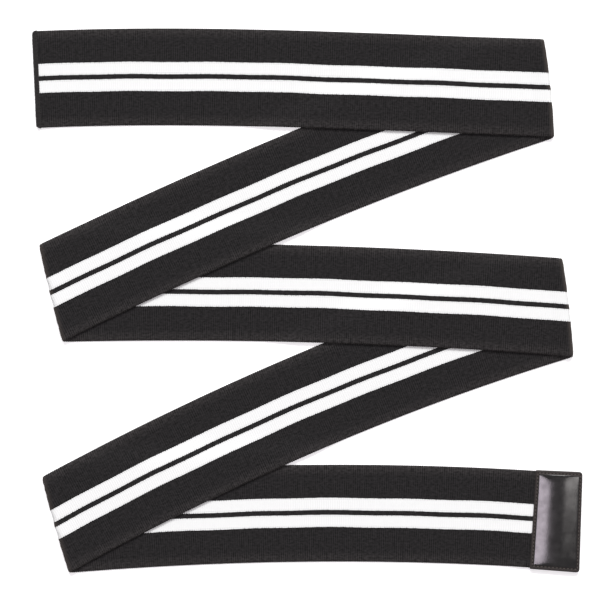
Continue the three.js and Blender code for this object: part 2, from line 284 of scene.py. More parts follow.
def add(tree, kind, inputs, **settings):
    """A new node of a kind, its settings set and each input given a value or linked from a socket."""
    made = tree.nodes.new(kind)
    for name, value in settings.items():
        setattr(made, name, value)
    for key, value in inputs.items():
        if isinstance(value, bpy.types.NodeSocket):
            tree.links.new(value, made.inputs[key])
        else:
            made.inputs[key].default_value = value
    return made


def new_material(name):
    """A material with an empty node tree."""
    made = bpy.data.materials.new(name)
    made.use_nodes = True
    made.node_tree.nodes.clear()
    return made


# Black polyester yarn over rubber, woven tight: matt, and uneven in short streaks along the warp.  The
# ribs' light and shade is painted into the colour at the rib pitch, plain in some patches and nearly lost in
# others; a painted sheen lightens the cloth towards its selvedges, and a lighter tan painted sheen lies
# along each fold's nose.  The warp is drawn coarser than the real one, so that it shows.
STREAK_LENGTH, STREAK_WIDTH = 3.2 * MM, 1.5 * MM
SLACK_PATCH = 12 * MM
SLACK_FROM, SLACK_TO = 0.38, 0.62
RIB_SHADE_FAINTEST, RIB_SHADE_STRONGEST = 0.1, 0.8
YARN_CONTRAST, YARN_SHIFT = 2.4, -0.7
SELVEDGE_SHEEN_FROM, SELVEDGE_SHEEN_TO = 29.5 * MM, 38.5 * MM
WARP_PITCH = 0.9 * MM
WARP_DEPTH = 0.12 * MM
WARP_WAVER = 1.5

# A wave texture of scale 1 has 20 / (2 pi) waves to the metre, and runs from 0 to 1 about its middle.
WAVE_PER_METRE = 2 * np.pi / 20
WAVE_MIDDLE = 0.5
RIB_SCALE = WAVE_PER_METRE * ribs / BAND_LENGTH
WARP_SCALE = WAVE_PER_METRE / WARP_PITCH

# The sockets of a Mix node that mixes colours, by number, because their names are used more than once.
MIX_SHARE, MIX_FROM, MIX_TO, MIXED = 0, 6, 7, 2

black_elastic = new_material("black_woven_elastic")
tree = black_elastic.node_tree
cloth = add(tree, "ShaderNodeUVMap", {}, uv_map="cloth").outputs["UV"]
across = add(tree, "ShaderNodeSeparateXYZ", {"Vector": cloth}).outputs["Y"]
streak_place = add(
    tree,
    "ShaderNodeVectorMath",
    {0: cloth, 1: (1 / STREAK_LENGTH, 1 / STREAK_WIDTH, 0)},
    operation="MULTIPLY",
)
uneven = add(
    tree,
    "ShaderNodeTexNoise",
    {"Vector": streak_place.outputs["Vector"], "Scale": 1.0, "Detail": 3.0, "Roughness": 0.7},
)
slack = add(tree, "ShaderNodeTexNoise", {"Vector": cloth, "Scale": 1 / SLACK_PATCH, "Detail": 2.0})
# The ribs' light and shade is painted into the colour as bands at the rib pitch, stronger in some patches
# than in others.
rib_shade_strength = add(
    tree,
    "ShaderNodeMapRange",
    {
        "Value": slack.outputs["Fac"],
        "From Min": SLACK_FROM,
        "From Max": SLACK_TO,
        "To Min": RIB_SHADE_FAINTEST,
        "To Max": RIB_SHADE_STRONGEST,
    },
)
rib_wave = add(tree, "ShaderNodeTexWave", {"Vector": cloth, "Scale": RIB_SCALE}, bands_direction="X")
painted_rib_shade = add(
    tree, "ShaderNodeMath", {0: rib_wave.outputs["Fac"], 1: WAVE_MIDDLE}, operation="SUBTRACT"
)
yarn_shade = add(
    tree,
    "ShaderNodeMath",
    {0: uneven.outputs["Fac"], 1: YARN_CONTRAST, 2: YARN_SHIFT},
    operation="MULTIPLY_ADD",
)
streak_and_rib_shade = add(
    tree,
    "ShaderNodeMath",
    {0: painted_rib_shade.outputs[0], 1: rib_shade_strength.outputs["Result"], 2: yarn_shade.outputs[0]},
    operation="MULTIPLY_ADD",
)
yarn_colour = add(tree, "ShaderNodeValToRGB", {"Fac": streak_and_rib_shade.outputs[0]})
yarn_colour.color_ramp.elements[0].color = linear("#060606")
yarn_colour.color_ramp.elements[1].color = linear("#242223")
# Towards each selvedge the colour is mixed into a lighter ramp: a painted sheen along the band's edges.
off_middle = add(tree, "ShaderNodeMath", {0: across}, operation="ABSOLUTE")
selvedge = add(
    tree,
    "ShaderNodeMapRange",
    {"Value": off_middle.outputs[0], "From Min": SELVEDGE_SHEEN_FROM, "From Max": SELVEDGE_SHEEN_TO},
)
selvedge_sheen_colour = add(tree, "ShaderNodeValToRGB", {"Fac": streak_and_rib_shade.outputs[0]})
selvedge_sheen_colour.color_ramp.elements[0].color = linear("#0c0b0b")
selvedge_sheen_colour.color_ramp.elements[1].color = linear("#373434")
edged_colour = add(
    tree,
    "ShaderNodeMix",
    {
        MIX_SHARE: selvedge.outputs["Result"],
        MIX_FROM: yarn_colour.outputs["Color"],
        MIX_TO: selvedge_sheen_colour.outputs["Color"],
    },
    data_type="RGBA",
)
# Along each fold's nose the colour is mixed towards a lighter tan: a painted sheen, carried by the stretch
# attribute.
stretch = add(tree, "ShaderNodeAttribute", {}, attribute_name="stretch").outputs["Fac"]
cloth_colour = add(
    tree,
    "ShaderNodeMix",
    {MIX_SHARE: stretch, MIX_FROM: edged_colour.outputs[MIXED], MIX_TO: linear("#3b3633")},
    data_type="RGBA",
)
warp = add(
    tree,
    "ShaderNodeTexWave",
    {"Vector": cloth, "Scale": WARP_SCALE, "Distortion": WARP_WAVER, "Detail": 1.0},
    bands_direction="Y",
)
warp_relief = add(
    tree, "ShaderNodeBump", {"Height": warp.outputs["Fac"], "Strength": 0.4, "Distance": WARP_DEPTH}
)
shader = add(
    tree,
    "ShaderNodeBsdfPrincipled",
    {
        "Base Color": cloth_colour.outputs[MIXED],
        "Roughness": 0.8,
        "Specular IOR Level": 0.15,
        "Sheen Weight": 0.08,
        "Sheen Roughness": 0.4,
        "Sheen Tint": linear("#d8c8b8"),
        "Normal": warp_relief.outputs["Normal"],
    },
)
add(tree, "ShaderNodeOutputMaterial", {"Surface": shader.outputs["BSDF"]})

# Bleached white yarn in the same weave: nearly pure white, with small grey ticks of the black binding
# thread at every rib just inside the stripe's edges.
TICK_INSET = 0.9 * MM
TICK_WIDTH = 0.35 * MM
STRIPE_MIDDLE = (STRIPE_INNER + STRIPE_OUTER) / 2
STRIPE_HALF = (STRIPE_OUTER - STRIPE_INNER) / 2

white_elastic = new_material("white_woven_elastic")
tree = white_elastic.node_tree
cloth = add(tree, "ShaderNodeUVMap", {}, uv_map="cloth").outputs["UV"]
place = add(tree, "ShaderNodeSeparateXYZ", {"Vector": cloth})
off_middle = add(tree, "ShaderNodeMath", {0: place.outputs["Y"], 1: STRIPE_OFFSET}, operation="SUBTRACT")
off_middle = add(tree, "ShaderNodeMath", {0: off_middle.outputs[0]}, operation="ABSOLUTE")
off_stripe = add(tree, "ShaderNodeMath", {0: off_middle.outputs[0], 1: STRIPE_MIDDLE}, operation="SUBTRACT")
off_stripe = add(tree, "ShaderNodeMath", {0: off_stripe.outputs[0]}, operation="ABSOLUTE")
near_edge = add(
    tree,
    "ShaderNodeMath",
    {0: off_stripe.outputs[0], 1: STRIPE_HALF - TICK_INSET, 2: TICK_WIDTH},
    operation="COMPARE",
)
rib_wave = add(tree, "ShaderNodeTexWave", {"Vector": cloth, "Scale": RIB_SCALE}, bands_direction="X")
tick = add(
    tree, "ShaderNodeMath", {0: near_edge.outputs[0], 1: rib_wave.outputs["Fac"]}, operation="MULTIPLY"
)
yarn_colour = add(tree, "ShaderNodeValToRGB", {"Fac": tick.outputs[0]})
yarn_colour.color_ramp.elements[0].color = linear("#d2d3d2")
yarn_colour.color_ramp.elements[1].color = linear("#bcbcbc")
warp = add(
    tree,
    "ShaderNodeTexWave",
    {"Vector": cloth, "Scale": WARP_SCALE, "Distortion": WARP_WAVER, "Detail": 1.0},
    bands_direction="Y",
)
warp_relief = add(
    tree, "ShaderNodeBump", {"Height": warp.outputs["Fac"], "Strength": 0.3, "Distance": WARP_DEPTH}
)
shader = add(
    tree,
    "ShaderNodeBsdfPrincipled",
    {
        "Base Color": yarn_colour.outputs["Color"],
        "Roughness": 0.9,
        "Specular IOR Level": 0.2,
        "Normal": warp_relief.outputs["Normal"],
    },
)
add(tree, "ShaderNodeOutputMaterial", {"Surface": shader.outputs["BSDF"]})

# A face is white where both its lanes lie on a stripe.  Valley edges are marked sharp, so each rib is
# shaded round and the groove between ribs stays crisp.
last_row = (row_count - 1) * ring_count
band_faces = tube_faces(row_count, ring_count).tolist()
band_faces.append(list(range(ring_count))[::-1])
band_faces.append(list(range(last_row, last_row + ring_count)))
band = new_piece("woven_band", band_points, band_faces, [black_elastic, white_elastic])
step_middle = np.abs((ring_v + np.roll(ring_v, -1)) / 2 - STRIPE_OFFSET)
white_step = (step_middle > STRIPE_INNER) & (step_middle < STRIPE_OUTER)
white_faces = np.concatenate([np.tile(white_step, row_count - 1), [False, False]])
band.data.polygons.foreach_set("material_index", white_faces.astype(np.int32))
edge_ends = np.empty(2 * len(band.data.edges), np.int32)
band.data.edges.foreach_get("vertices", edge_ends)
edge_rows = edge_ends.reshape(-1, 2) // ring_count
valley_edges = (edge_rows[:, 0] == edge_rows[:, 1]) & (edge_rows[:, 0] % 2 == 1)
band.data.attributes.new("sharp_edge", "BOOLEAN", "EDGE").data.foreach_set("value", valley_edges)
band.data.attributes.new("stretch", "FLOAT", "POINT").data.foreach_set("value", band_nose_sheen.ravel())

# The cloth map holds each corner's place on the flat band, in metres.  The bake map lays the band's front
# and back out as strips under each other, so that no two faces share a place.
STRIPS = 5
STRIP_MARGIN = 0.02
corner_points = np.empty(len(band.data.loops), np.int32)
band.data.loops.foreach_get("vertex_index", corner_points)
corner_u = band_u.reshape(-1)[corner_points]
corner_v = band_v.reshape(-1)[corner_points]
cloth_map = band.data.uv_layers.new(name="cloth")
cloth_map.uv.foreach_set("vector", np.column_stack([corner_u, corner_v]).astype(np.float32).ravel())
quad_rows, quad_steps = np.divmod(np.arange((row_count - 1) * ring_count), ring_count)
quad_strip = quad_rows * STRIPS // (row_count - 1)
quad_back = (quad_steps >= len(front_lanes)) & (quad_steps < ring_count - 1)
corner_strip = np.concatenate([np.repeat(quad_strip, 4), np.full(2 * ring_count, STRIPS - 1)])
corner_back = np.concatenate([np.repeat(quad_back, 4), np.full(2 * ring_count, True)])
bake_x = corner_u / BAND_LENGTH * STRIPS - corner_strip
bake_x = STRIP_MARGIN + (1 - 2 * STRIP_MARGIN) * np.clip(bake_x, 0, 1)
bake_y = corner_strip * 2 + corner_back + 0.5 + (1 - 2 * STRIP_MARGIN) * corner_v / BAND_WIDTH
bake_y = bake_y / (2 * STRIPS)
bake_map = band.data.uv_layers.new(name="OFBake")
bake_map.uv.foreach_set("vector", np.column_stack([bake_x, bake_y]).astype(np.float32).ravel())
band.data.uv_layers.active = cloth_map

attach(band, "root")
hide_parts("band")


# The end binding: the band's plain end is cut and overlocked, so woolly black thread is looped round the
# raw edge from selvedge to selvedge, and a row of needle stitches on each face holds the loops down.
LOOP_PITCH = 1.05 * MM
LOOP_SWAY = 0.06 * MM
LOOP_SEED = 7
THREAD_RADIUS = 0.42 * MM
NEEDLE_RADIUS = 0.26 * MM
NEEDLE_PITCH = 2.1 * MM
NEEDLE_LENGTH = 1.9 * MM
NEEDLE_LEAN = 0.1
BINDING_FROM, BINDING_TO = -0.7 * MM, 3.6 * MM
BINDING_HEIGHT = 3.2 * MM
BINDING_OVERHANG = 0.4 * MM
BINDING_CORNER = 1.0 * MM
BINDING_TIP = 2.5 * MM
SLEEVE_FROM, SLEEVE_LOW, SLEEVE_HIGH, SLEEVE_CORNER = -0.1 * MM, 0.6 * MM, 2.6 * MM, 0.3 * MM
LOOP_STEPS = 26
SLEEVE_STEPS = 20
TIP_STEPS = 8
THREAD_SIDES = 8
STITCH_STEPS = 7
STITCH_TIP = 0.12
STITCH_FULLNESS = 0.6
LOOP_TAPER, LOOP_TIP = 0.125, 0.45
CORNER_STEPS = 12


def at_end(place, heading, local):
    """Points given along, across and above an end of the band, set in the frame by its place and heading."""
    turned = local[..., :1] * direction(heading) + local[..., 1:2] * left_of(direction(heading))
    return np.concatenate([place + turned, local[..., 2:]], axis=-1)


def hairpin(share, start, end, low, high, corner):
    """A hairpin from the side: in along the top from end, round corners at start, out along the bottom.

    share goes by arc length from 0 to 1, and the points are distances along and above."""
    turn = np.linspace(0, np.pi / 2, CORNER_STEPS)
    top = np.column_stack([start + corner * (1 - np.sin(turn)), high - corner * (1 - np.cos(turn))])
    bottom = np.column_stack([top[:, 0], low + high - top[:, 1]])[::-1]
    line = np.vstack([[(end, high)], top, bottom, [(end, low)]])
    marks = np.concatenate([[0], np.cumsum(np.linalg.norm(np.diff(line, axis=0), axis=1))])
    return np.column_stack([np.interp(share * marks[-1], marks, line[:, i]) for i in (0, 1)])


def shorten(along, across):
    """Distances along the binding drawn back towards its inner end near its tips, to round them in plan.

    Within a tip's radius of the end the nose is drawn back as a circle falls away from its tangent, and the
    rest of the loop in proportion."""
    tip = np.clip((np.abs(across) - binding_half) / BINDING_TIP + 1, 0, 1)
    drawn_back = BINDING_TIP * (1 - np.sqrt(1 - tip * tip))
    return BINDING_TO - (BINDING_TO - along) * (1 - drawn_back / (BINDING_TO - BINDING_FROM))


def thread_points(paths, side, radius):
    """Round threads on paths of shape (threads, steps, 3): at each step a circle square to the path.

    side is a direction that no path follows; it gives the circle's first axis, and its product with the
    tangent the second."""
    tangent = np.gradient(paths, axis=1)
    tangent = tangent / np.linalg.norm(tangent, axis=-1, keepdims=True)
    first = side - dot(tangent, side)[..., None] * tangent
    first = first / np.linalg.norm(first, axis=-1, keepdims=True)
    second = np.cross(tangent, first)
    angle = np.linspace(0, 2 * np.pi, THREAD_SIDES, endpoint=False)[:, None]
    ring = np.cos(angle) * first[:, :, None] + np.sin(angle) * second[:, :, None]
    return paths[:, :, None] + ring * radius[:, None, None]


def thread_faces(threads, steps, first_point=0):
    """Faces of threads that follow each other in the point list: quads round each, and a cap on each end."""
    starts = first_point + np.arange(threads)[:, None] * steps * THREAD_SIDES
    around = np.arange(THREAD_SIDES)
    quads = (starts[:, None] + tube_faces(steps, THREAD_SIDES)).reshape(-1, 4).tolist()
    caps = (starts + around[::-1]).tolist()
    caps += (starts + (steps - 1) * THREAD_SIDES + around).tolist()
    return quads + caps


def stitch_paths(middles, along, length):
    """Straight paths about middles: steps set close at the ends, by the cosine of equal angles."""
    angle = np.linspace(STITCH_TIP, np.pi - STITCH_TIP, STITCH_STEPS)
    steps = -np.cos(angle)[:, None]
    return middles[:, None] + along[:, None] * steps * length / 2


def stitch_radius(thickness):
    """The radius along a stitch, full in the middle and round at the ends: a power of a half turn's sine."""
    angle = np.linspace(STITCH_TIP, np.pi - STITCH_TIP, STITCH_STEPS)
    return thickness * np.sin(angle) ** STITCH_FULLNESS


binding_half = HALF_WIDTH + BINDING_OVERHANG - THREAD_RADIUS
loops = 2 * round(binding_half / LOOP_PITCH) + 1
loop_share = np.linspace(0, 1, LOOP_STEPS)
loop_form = (
    BINDING_FROM + THREAD_RADIUS,
    BINDING_TO - THREAD_RADIUS,
    THREAD_RADIUS,
    BINDING_HEIGHT - THREAD_RADIUS,
    BINDING_CORNER,
)
loop_side = hairpin(loop_share, *loop_form)
loop_sway = np.random.default_rng(LOOP_SEED).normal(0, LOOP_SWAY, (loops, 2))
loop_paths = np.empty((loops, LOOP_STEPS, 3))
loop_paths[..., 0] = loop_side[:, 0] + loop_sway[:, :1] * np.sin(np.pi * loop_share)
loop_paths[..., 1] = (np.linspace(-1, 1, loops) * binding_half + loop_sway[:, 1])[:, None]
loop_paths[..., 1] += LOOP_PITCH * (loop_share - 0.5)
loop_paths[..., 2] = loop_side[:, 1]
loop_paths[..., 0] = shorten(loop_paths[..., 0], loop_paths[..., 1])
loop_taper = np.sqrt(np.clip(np.minimum(loop_share, 1 - loop_share) / LOOP_TAPER, LOOP_TIP, 1))
across_end = np.array([0.0, 1.0, 0.0])
loop_points = thread_points(loop_paths, across_end, THREAD_RADIUS * loop_taper)

needles = int(2 * HALF_WIDTH / NEEDLE_PITCH)
needle_y = (np.arange(needles) - (needles - 1) / 2) * NEEDLE_PITCH
needle_x = np.full(needles, BINDING_TO - NEEDLE_RADIUS)
needle_middles = np.vstack(
    [
        np.column_stack([needle_x, needle_y, np.full(needles, SLEEVE_HIGH + NEEDLE_RADIUS)]),
        np.column_stack([needle_x, needle_y, np.full(needles, SLEEVE_LOW - NEEDLE_RADIUS)]),
    ]
)
needle_along = np.broadcast_to(np.array([NEEDLE_LEAN, 1.0, 0.0]), needle_middles.shape)
needle_paths = stitch_paths(needle_middles, needle_along, NEEDLE_LENGTH)
upward = np.array([0.0, 0.0, 1.0])
needle_points = thread_points(needle_paths, upward, stitch_radius(NEEDLE_RADIUS))

# Under the loops a thin sleeve of packed thread closes the gaps: two hairpins, one along the middle of the
# loops and one inside it, carried straight across from selvedge to selvedge.
sleeve_share = np.linspace(0, 1, SLEEVE_STEPS)
sleeve_outer = hairpin(sleeve_share, *loop_form)
sleeve_inner = hairpin(
    sleeve_share, SLEEVE_FROM, BINDING_TO - THREAD_RADIUS, SLEEVE_LOW, SLEEVE_HIGH, SLEEVE_CORNER
)
sleeve_side = np.vstack([sleeve_outer, sleeve_inner[::-1]])
sleeve_ring = len(sleeve_side)
sleeve_half = HALF_WIDTH + SLEEVE_FROM
tip_across = sleeve_half - BINDING_TIP * (1 - np.sin(np.linspace(0, np.pi / 2, TIP_STEPS)))
sleeve_across = np.concatenate([-tip_across[::-1], tip_across])
sleeve_rows = len(sleeve_across)
sleeve_points = np.empty((sleeve_rows, sleeve_ring, 3))
sleeve_points[..., 0] = shorten(sleeve_side[:, 0], sleeve_across[:, None])
sleeve_points[..., 1] = sleeve_across[:, None]
sleeve_points[..., 2] = sleeve_side[:, 1]
sleeve_first = loop_points.size // 3 + needle_points.size // 3
sleeve_faces = (sleeve_first + tube_faces(sleeve_rows, sleeve_ring)).tolist()
sleeve_steps = np.arange(SLEEVE_STEPS - 1)
sleeve_cap = np.column_stack(
    [sleeve_steps, sleeve_steps + 1, sleeve_ring - 2 - sleeve_steps, sleeve_ring - 1 - sleeve_steps]
)
sleeve_faces += (sleeve_first + sleeve_cap[:, ::-1]).tolist()
sleeve_faces += (sleeve_first + (sleeve_rows - 1) * sleeve_ring + sleeve_cap).tolist()

# Woolly nylon thread: dull, soft and a shade lighter than the cloth, its twist showing as fine flecks.
FLECK = 0.5 * MM
FLECK_DARK, FLECK_LIGHT = 0.3, 0.7
FUZZ_DEPTH = 0.1 * MM
overlock_thread = new_material("woolly_nylon_thread")
tree = overlock_thread.node_tree
spot = add(tree, "ShaderNodeTexCoord", {}).outputs["Object"]
flecks = add(
    tree, "ShaderNodeTexNoise", {"Vector": spot, "Scale": 1 / FLECK, "Detail": 3.0, "Roughness": 0.6}
)
thread_colour = add(tree, "ShaderNodeValToRGB", {"Fac": flecks.outputs["Fac"]})
thread_colour.color_ramp.elements[0].position = FLECK_DARK
thread_colour.color_ramp.elements[0].color = linear("#1a1919")
thread_colour.color_ramp.elements[1].position = FLECK_LIGHT
thread_colour.color_ramp.elements[1].color = linear("#2c2a2a")
fuzz = add(
    tree, "ShaderNodeBump", {"Height": flecks.outputs["Fac"], "Strength": 0.5, "Distance": FUZZ_DEPTH}
)
shader = add(
    tree,
    "ShaderNodeBsdfPrincipled",
    {
        "Base Color": thread_colour.outputs["Color"],
        "Roughness": 0.9,
        "Specular IOR Level": 0.2,
        "Sheen Weight": 0.15,
        "Sheen Roughness": 0.5,
        "Sheen Tint": linear("#d2cfcc"),
        "Normal": fuzz.outputs["Normal"],
    },
)
add(tree, "ShaderNodeOutputMaterial", {"Surface": shader.outputs["BSDF"]})

binding_points = np.vstack([part.reshape(-1, 3) for part in (loop_points, needle_points, sleeve_points)])
binding_faces = thread_faces(loops, LOOP_STEPS)
binding_faces += thread_faces(len(needle_middles), STITCH_STEPS, loop_points.size // 3)
binding_faces += sleeve_faces
binding = new_piece(
    "overlocked_end", at_end(PLACES[0], HEADINGS_OUT[0], binding_points), binding_faces, [overlock_thread]
)
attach(binding, "root")
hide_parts("end_binding")


# The end tab: a cap of black PU leather folded over the band's other end and sewn round, with a raised
# glossy panel inside a sunk line of stitches and a duller turned edge outside it.
TAB_LENGTH = 38.0 * MM
TAB_WIDTH = 78.8 * MM
TAB_OPEN_SLANT, TAB_SLANT = 0.9 * MM, 3.5 * MM
TAB_UPPER_OPEN, TAB_UPPER_CLOSED = -0.8 * MM, 0.4 * MM
TAB_RIGHT = 4.5 * MM
TAB_CORNER_OPEN, TAB_CORNER_CLOSED = 0.8 * MM, 2.6 * MM
TAB_BACK, TAB_POCKET_TOP, TAB_POCKET_END, TAB_POCKET_HALF = 0.8 * MM, 3.2 * MM, 0.3 * MM, 38.5 * MM
TAB_WALL_LOW = 0.5 * MM
RIM_OPEN, RIM_CLOSED, RIM_UPPER, RIM_LOWER = 1.8 * MM, 1.7 * MM, 2.3 * MM, 2.4 * MM
RIM_LEVELS = np.array([0, 0.07, 0.16, 0.29, 0.46, 0.64, 0.78, 0.9, 1.0, 1.1, 1.22, 1.4, 1.8])
RIM_HEIGHTS = np.array([3.5, 3.8, 4.0, 4.12, 4.2, 4.2, 4.15, 4.02, 3.95, 4.05, 4.3, 4.5, 4.52]) * MM
PANEL_FROM = 1.4
PANEL_RISE = 1.0 * MM
PANEL_FLATNESS = 12
PANEL_RIPPLE, RIPPLE_ACROSS, RIPPLE_ALONG = 0.02 * MM, 5.3 * MM, 7.1 * MM
RIPPLE_SWAY = 1.5
BACK_ROUNDING = 0.25
PANEL_LINES_ALONG, PANEL_LINES_ACROSS = 24, 40


def tab_lines(length, low_rim, high_rim, inner):
    """Distances from one side of the tab: each rim's levels, close together, and even lines between them."""
    low, high = RIM_LEVELS * low_rim, length - RIM_LEVELS[::-1] * high_rim
    return np.concatenate([low, np.linspace(low[-1], high[0], inner + 2)[1:-1], high])


# The top: the rim's profile by how far in a point is, as a share of the rim's width, and on it the panel,
# which swells as a parabola along the band, stays nearly flat across it and has a slight ripple.
tab_x = tab_lines(TAB_LENGTH, RIM_OPEN, RIM_CLOSED, PANEL_LINES_ALONG)
tab_y = tab_lines(TAB_WIDTH, RIM_LOWER, RIM_UPPER, PANEL_LINES_ACROSS)
tab_a, tab_b = np.meshgrid(tab_x, tab_y, indexing="ij")
rim_share = np.minimum.reduce(
    [tab_a / RIM_OPEN, (TAB_LENGTH - tab_a) / RIM_CLOSED, tab_b / RIM_LOWER, (TAB_WIDTH - tab_b) / RIM_UPPER]
)
panel_a = np.clip((tab_a - RIM_OPEN) / (TAB_LENGTH - RIM_OPEN - RIM_CLOSED), 0, 1)
panel_b = np.clip((tab_b - RIM_LOWER) / (TAB_WIDTH - RIM_LOWER - RIM_UPPER), 0, 1)
panel_swell = 4 * panel_a * (1 - panel_a) * (1 - (2 * panel_b - 1) ** PANEL_FLATNESS)
panel_ripple = np.sin(tab_b / RIPPLE_ACROSS + RIPPLE_SWAY * np.sin(tab_a / RIPPLE_ALONG))
tab_top = np.interp(rim_share, RIM_LEVELS, RIM_HEIGHTS)
tab_top += (PANEL_RISE + PANEL_RIPPLE * panel_ripple) * panel_swell


def tab_plan(a, b):
    """Places along and across the tab from distances a from its open side and b from its lower side.

    The upper side is drawn in at the open end and let out at the closed one, by the square of b's share,
    and both ends slant in proportion to the offset from the middle."""
    let_out = TAB_UPPER_OPEN + (TAB_UPPER_CLOSED - TAB_UPPER_OPEN) * a / TAB_LENGTH
    across = b - TAB_WIDTH / 2 + let_out * (b / TAB_WIDTH) ** 2
    open_side = TAB_RIGHT - TAB_LENGTH - TAB_OPEN_SLANT * across / TAB_WIDTH
    closed_side = TAB_RIGHT - TAB_SLANT * across / TAB_WIDTH
    return open_side + (closed_side - open_side) * a / TAB_LENGTH, across


def rounded(distance_a, distance_b, radius):
    """How far points near a square corner move, along and across, to round it: a square made a disc."""
    p, q = np.clip(1 - distance_a / radius, 0, 1), np.clip(1 - distance_b / radius, 0, 1)
    return radius * p * (1 - np.sqrt(1 - q * q / 2)), radius * q * (1 - np.sqrt(1 - p * p / 2))


round_a, round_b = tab_a.copy(), tab_b.copy()
for to_a, to_b in ((0, 0), (0, 1), (1, 0), (1, 1)):
    move_a, move_b = rounded(
        np.abs(to_a * TAB_LENGTH - tab_a),
        np.abs(to_b * TAB_WIDTH - tab_b),
        TAB_CORNER_CLOSED if to_a else TAB_CORNER_OPEN,
    )
    round_a += move_a * (1 - 2 * to_a)
    round_b += move_b * (1 - 2 * to_b)
tab_along, tab_across = tab_plan(round_a, round_b)

# The shell: the top and the back are grids with one outline between them, joined by walls of three
# strips.  The middle strip is open on the left, where the band goes into a flat pocket.
grid_a, grid_b = tab_a.shape
tab_back = TAB_WALL_LOW * (1 - np.clip(rim_share / BACK_ROUNDING, 0, 1))
grid_points = np.arange(grid_a * grid_b).reshape(grid_a, grid_b)
outline = np.concatenate(
    [grid_points[:-1, 0], grid_points[-1, :-1], grid_points[:0:-1, -1], grid_points[0, :0:-1]]
)
outline_count = len(outline)
top_points = np.column_stack([tab_along.ravel(), tab_across.ravel(), tab_top.ravel()])
back_points = np.column_stack([tab_along.ravel(), tab_across.ravel(), tab_back.ravel()])
pocket_high = np.column_stack([top_points[outline, :2], np.full(outline_count, TAB_POCKET_TOP)])
pocket_low = np.column_stack([top_points[outline, :2], np.full(outline_count, TAB_BACK)])
in_mouth = np.isin(outline, grid_points[0]) & (np.abs(top_points[outline, 1]) < TAB_POCKET_HALF)
mouth = np.flatnonzero(in_mouth)
deep_high, deep_low = pocket_high[mouth].copy(), pocket_low[mouth].copy()
deep_high[:, 0] = TAB_POCKET_END
deep_low[:, 0] = TAB_POCKET_END
tab_points = np.vstack([top_points, back_points, pocket_high, pocket_low, deep_high, deep_low])

back_first = len(top_points)
high_first = back_first + len(back_points)
low_first = high_first + outline_count
deep_high_first = low_first + outline_count
deep_low_first = deep_high_first + len(mouth)
top_quads = np.stack(
    [grid_points[:-1, :-1], grid_points[1:, :-1], grid_points[1:, 1:], grid_points[:-1, 1:]], axis=-1
).reshape(-1, 4)
back_quads = back_first + top_quads[:, ::-1]
ring_here, ring_next = np.arange(outline_count), (np.arange(outline_count) + 1) % outline_count


def wall(upper, lower):
    """Quads from an upper loop of points down to a lower one, facing out of an anticlockwise loop."""
    return np.column_stack([lower, np.roll(lower, -1), np.roll(upper, -1), upper])


high_loop, low_loop = high_first + ring_here, low_first + ring_here
shut = ~(in_mouth[ring_here] & in_mouth[ring_next])
mouth_ring = np.concatenate([high_first + mouth, (low_first + mouth)[::-1]])
deep_ring = np.concatenate(
    [deep_high_first + np.arange(len(mouth)), deep_low_first + np.arange(len(mouth))[::-1]]
)
deep_steps = np.arange(len(mouth) - 1)
pocket_end = np.column_stack(
    [
        deep_high_first + deep_steps,
        deep_high_first + deep_steps + 1,
        deep_low_first + deep_steps + 1,
        deep_low_first + deep_steps,
    ]
)
tab_faces = np.vstack(
    [
        top_quads,
        back_quads,
        wall(outline, high_loop),
        wall(high_loop, low_loop)[shut],
        wall(low_loop, back_first + outline),
        wall(mouth_ring, deep_ring),
        pocket_end[:, ::-1],
    ]
)

# PU-coated leather, pressed smooth: a dark glossy skin with a fine pebble grain that breaks up the
# reflection a little, polished unevenly by handling.
GRAIN = 0.7 * MM
GRAIN_DEPTH = 0.1 * MM
MOTTLE = 6 * MM
MOTTLE_FROM, MOTTLE_TO = 0.3, 0.7
SMOOTHEST, ROUGHEST = 0.095, 0.14
POLISH_LEAST, POLISH_MOST = 0.36, 0.56
pu_leather = new_material("pu_leather")
tree = pu_leather.node_tree
spot = add(tree, "ShaderNodeTexCoord", {}).outputs["Object"]
pebbles = add(tree, "ShaderNodeTexVoronoi", {"Vector": spot, "Scale": 1 / GRAIN}, feature="SMOOTH_F1")
mottle = add(tree, "ShaderNodeTexNoise", {"Vector": spot, "Scale": 1 / MOTTLE, "Detail": 3.0})
leather_colour = add(tree, "ShaderNodeValToRGB", {"Fac": mottle.outputs["Fac"]})
leather_colour.color_ramp.elements[0].color = linear("#100e0f")
leather_colour.color_ramp.elements[1].color = linear("#1a1818")
gloss = add(
    tree, "ShaderNodeMapRange", {"Value": mottle.outputs["Fac"], "To Min": SMOOTHEST, "To Max": ROUGHEST}
)
polish = add(
    tree,
    "ShaderNodeMapRange",
    {
        "Value": mottle.outputs["Fac"],
        "From Min": MOTTLE_FROM,
        "From Max": MOTTLE_TO,
        "To Min": POLISH_LEAST,
        "To Max": POLISH_MOST,
    },
)
grain = add(
    tree,
    "ShaderNodeBump",
    {"Height": pebbles.outputs["Distance"], "Strength": 0.08, "Distance": GRAIN_DEPTH},
)
shader = add(
    tree,
    "ShaderNodeBsdfPrincipled",
    {
        "Base Color": leather_colour.outputs["Color"],
        "Roughness": gloss.outputs["Result"],
        "Specular IOR Level": polish.outputs["Result"],
        "Normal": grain.outputs["Normal"],
    },
)
add(tree, "ShaderNodeOutputMaterial", {"Surface": shader.outputs["BSDF"]})

